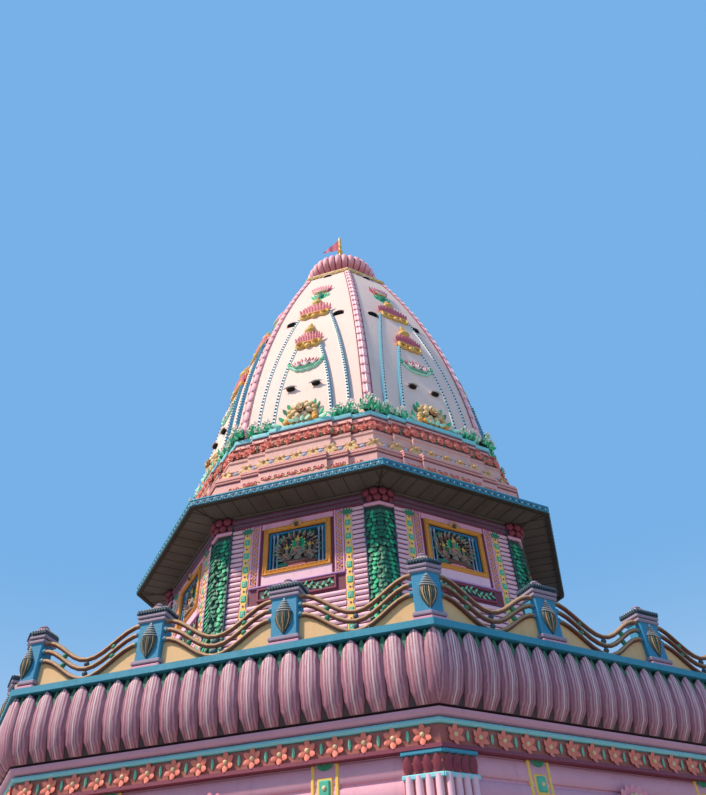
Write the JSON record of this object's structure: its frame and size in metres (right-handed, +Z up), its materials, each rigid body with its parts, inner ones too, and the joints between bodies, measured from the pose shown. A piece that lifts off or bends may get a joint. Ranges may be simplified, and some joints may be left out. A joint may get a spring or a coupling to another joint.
{
  "type": "hindu temple",
  "caption": "Octagonal Hindu temple: hall below, terrace with waved rails, drum with relief windows, wide eave and curved pink tower with ribbed crown and pennant.",
  "frame": {"origin": "on the ground, on the tower's axis, at the centre of the octagon", "axes": "+Z is up; -Y is the side with the entrance doorway, the left large side in the picture"},
  "size_m": [16.408, 16.408, 28.28],
  "materials": {
    "plinth_stone": "plain dressed stone, matt",
    "pink_wall": "painted cement plaster, rusticated, matt",
    "terrace_concrete": "weathered cement",
    "teal_paint": "painted cement, satin",
    "petal_pink": "painted cement relief, matt",
    "post_blue": "painted cement posts, satin",
    "rail_bronze": "gold-brown paint on round rail",
    "panel_beige": "painted plaster",
    "leaf_green": "painted cement relief, satin",
    "capital_crimson": "painted cement relief",
    "frame_orange": "painted cement frame",
    "relief_blue": "painted cement relief panel",
    "eave_grey": "board-marked concrete",
    "moulding_pink": "painted cement mouldings",
    "tower_pink": "pale pink paint on plaster",
    "crown_pink": "painted cement, ribbed",
    "kalash_gold": "gilt finial",
    "pennant_cloth": "plain woven cloth"
  },
  "bodies": {
    "root": {"plinth_floor": "plinth_stone", "ground_wall_1_doorway": "pink_wall", "ground_wall_2": "pink_wall", "ground_wall_3": "pink_wall", "ground_wall_4": "pink_wall", "ground_wall_5": "pink_wall", "ground_wall_6": "pink_wall", "ground_wall_7": "pink_wall", "ground_wall_8": "pink_wall", "terrace_slab": "terrace_concrete", "lotus_cornice": "petal_pink", "terrace_beam": "teal_paint", "parapet_1": "post_blue", "parapet_2": "post_blue", "parapet_3": "post_blue", "parapet_4": "post_blue", "parapet_5": "post_blue", "parapet_6": "post_blue", "parapet_7": "post_blue", "parapet_8": "post_blue", "drum_wall_1": "pink_wall", "drum_wall_2": "pink_wall", "drum_wall_3": "pink_wall", "drum_wall_4": "pink_wall", "drum_wall_5": "pink_wall", "drum_wall_6": "pink_wall", "drum_wall_7": "pink_wall", "drum_wall_8": "pink_wall", "window_relief_1": "relief_blue", "window_relief_2": "relief_blue", "window_relief_3": "relief_blue", "window_relief_4": "relief_blue", "window_relief_5": "relief_blue", "window_relief_6": "relief_blue", "window_relief_7": "relief_blue", "window_relief_8": "relief_blue", "corner_column_1": "leaf_green", "corner_column_2": "leaf_green", "corner_column_3": "leaf_green", "corner_column_4": "leaf_green", "corner_column_5": "leaf_green", "corner_column_6": "leaf_green", "corner_column_7": "leaf_green", "corner_column_8": "leaf_green", "eave_slab": "eave_grey", "entablature": "moulding_pink", "shikhara": "tower_pink", "crown_neck": "moulding_pink", "amalaka": "crown_pink", "kalash": "kalash_gold", "pennant": "pennant_cloth"}
  },
  "joints": []
}
